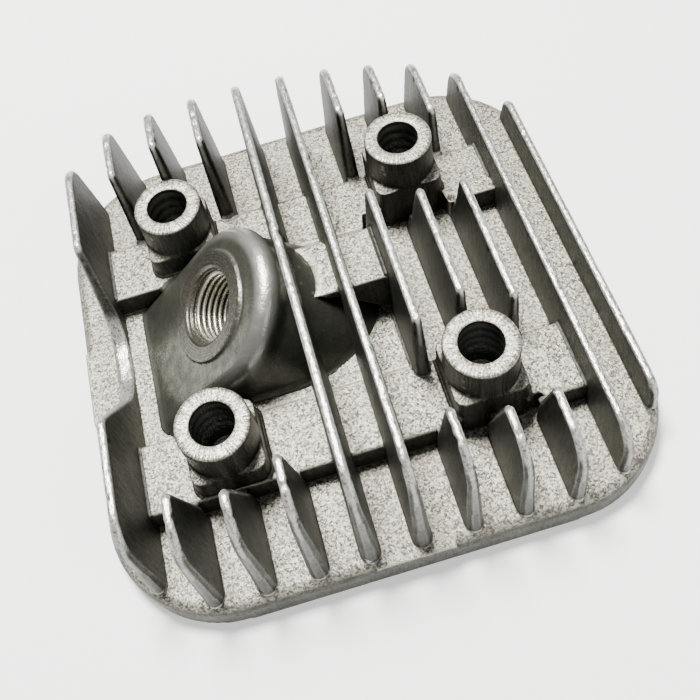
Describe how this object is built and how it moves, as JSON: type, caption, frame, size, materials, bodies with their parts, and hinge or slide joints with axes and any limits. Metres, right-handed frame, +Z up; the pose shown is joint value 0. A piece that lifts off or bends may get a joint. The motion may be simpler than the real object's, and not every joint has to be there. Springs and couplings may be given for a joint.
{
  "type": "cylinder head",
  "caption": "Air-cooled two-stroke cylinder head casting with cooling fins, stud pillars, a slanted spark plug boss and a domed combustion chamber.",
  "frame": {"origin": "on the gasket face, at the middle of the square stud pattern, which is the cylinder's axis", "axes": "+Z up from the gasket face to the fins, Y along the fins, +X across them, away from the spark plug's face"},
  "size_m": [0.1044, 0.1, 0.0364],
  "materials": {
    "cast_aluminium": "as die-cast and tumbled: speckled silver-grey skin, brighter on crests and edges"
  },
  "bodies": {
    "root": {"back_bar": "cast_aluminium", "bridge_block": "cast_aluminium", "center_web": "cast_aluminium", "fin_01": "cast_aluminium", "fin_02_back": "cast_aluminium", "fin_02_front": "cast_aluminium", "fin_03_back": "cast_aluminium", "fin_03_front": "cast_aluminium", "fin_04_back": "cast_aluminium", "fin_04_front": "cast_aluminium", "fin_05": "cast_aluminium", "fin_06": "cast_aluminium", "fin_07_back": "cast_aluminium", "fin_07_front": "cast_aluminium", "fin_07_middle": "cast_aluminium", "fin_08_back": "cast_aluminium", "fin_08_front": "cast_aluminium", "fin_08_middle": "cast_aluminium", "fin_09_back": "cast_aluminium", "fin_09_front": "cast_aluminium", "fin_09_middle": "cast_aluminium", "fin_10": "cast_aluminium", "fin_11": "cast_aluminium", "front_bar": "cast_aluminium", "head_plate": "cast_aluminium", "plug_boss": "cast_aluminium", "stud_pillar_back_left": "cast_aluminium", "stud_pillar_back_right": "cast_aluminium", "stud_pillar_front_left": "cast_aluminium", "stud_pillar_front_right": "cast_aluminium"}
  },
  "joints": []
}
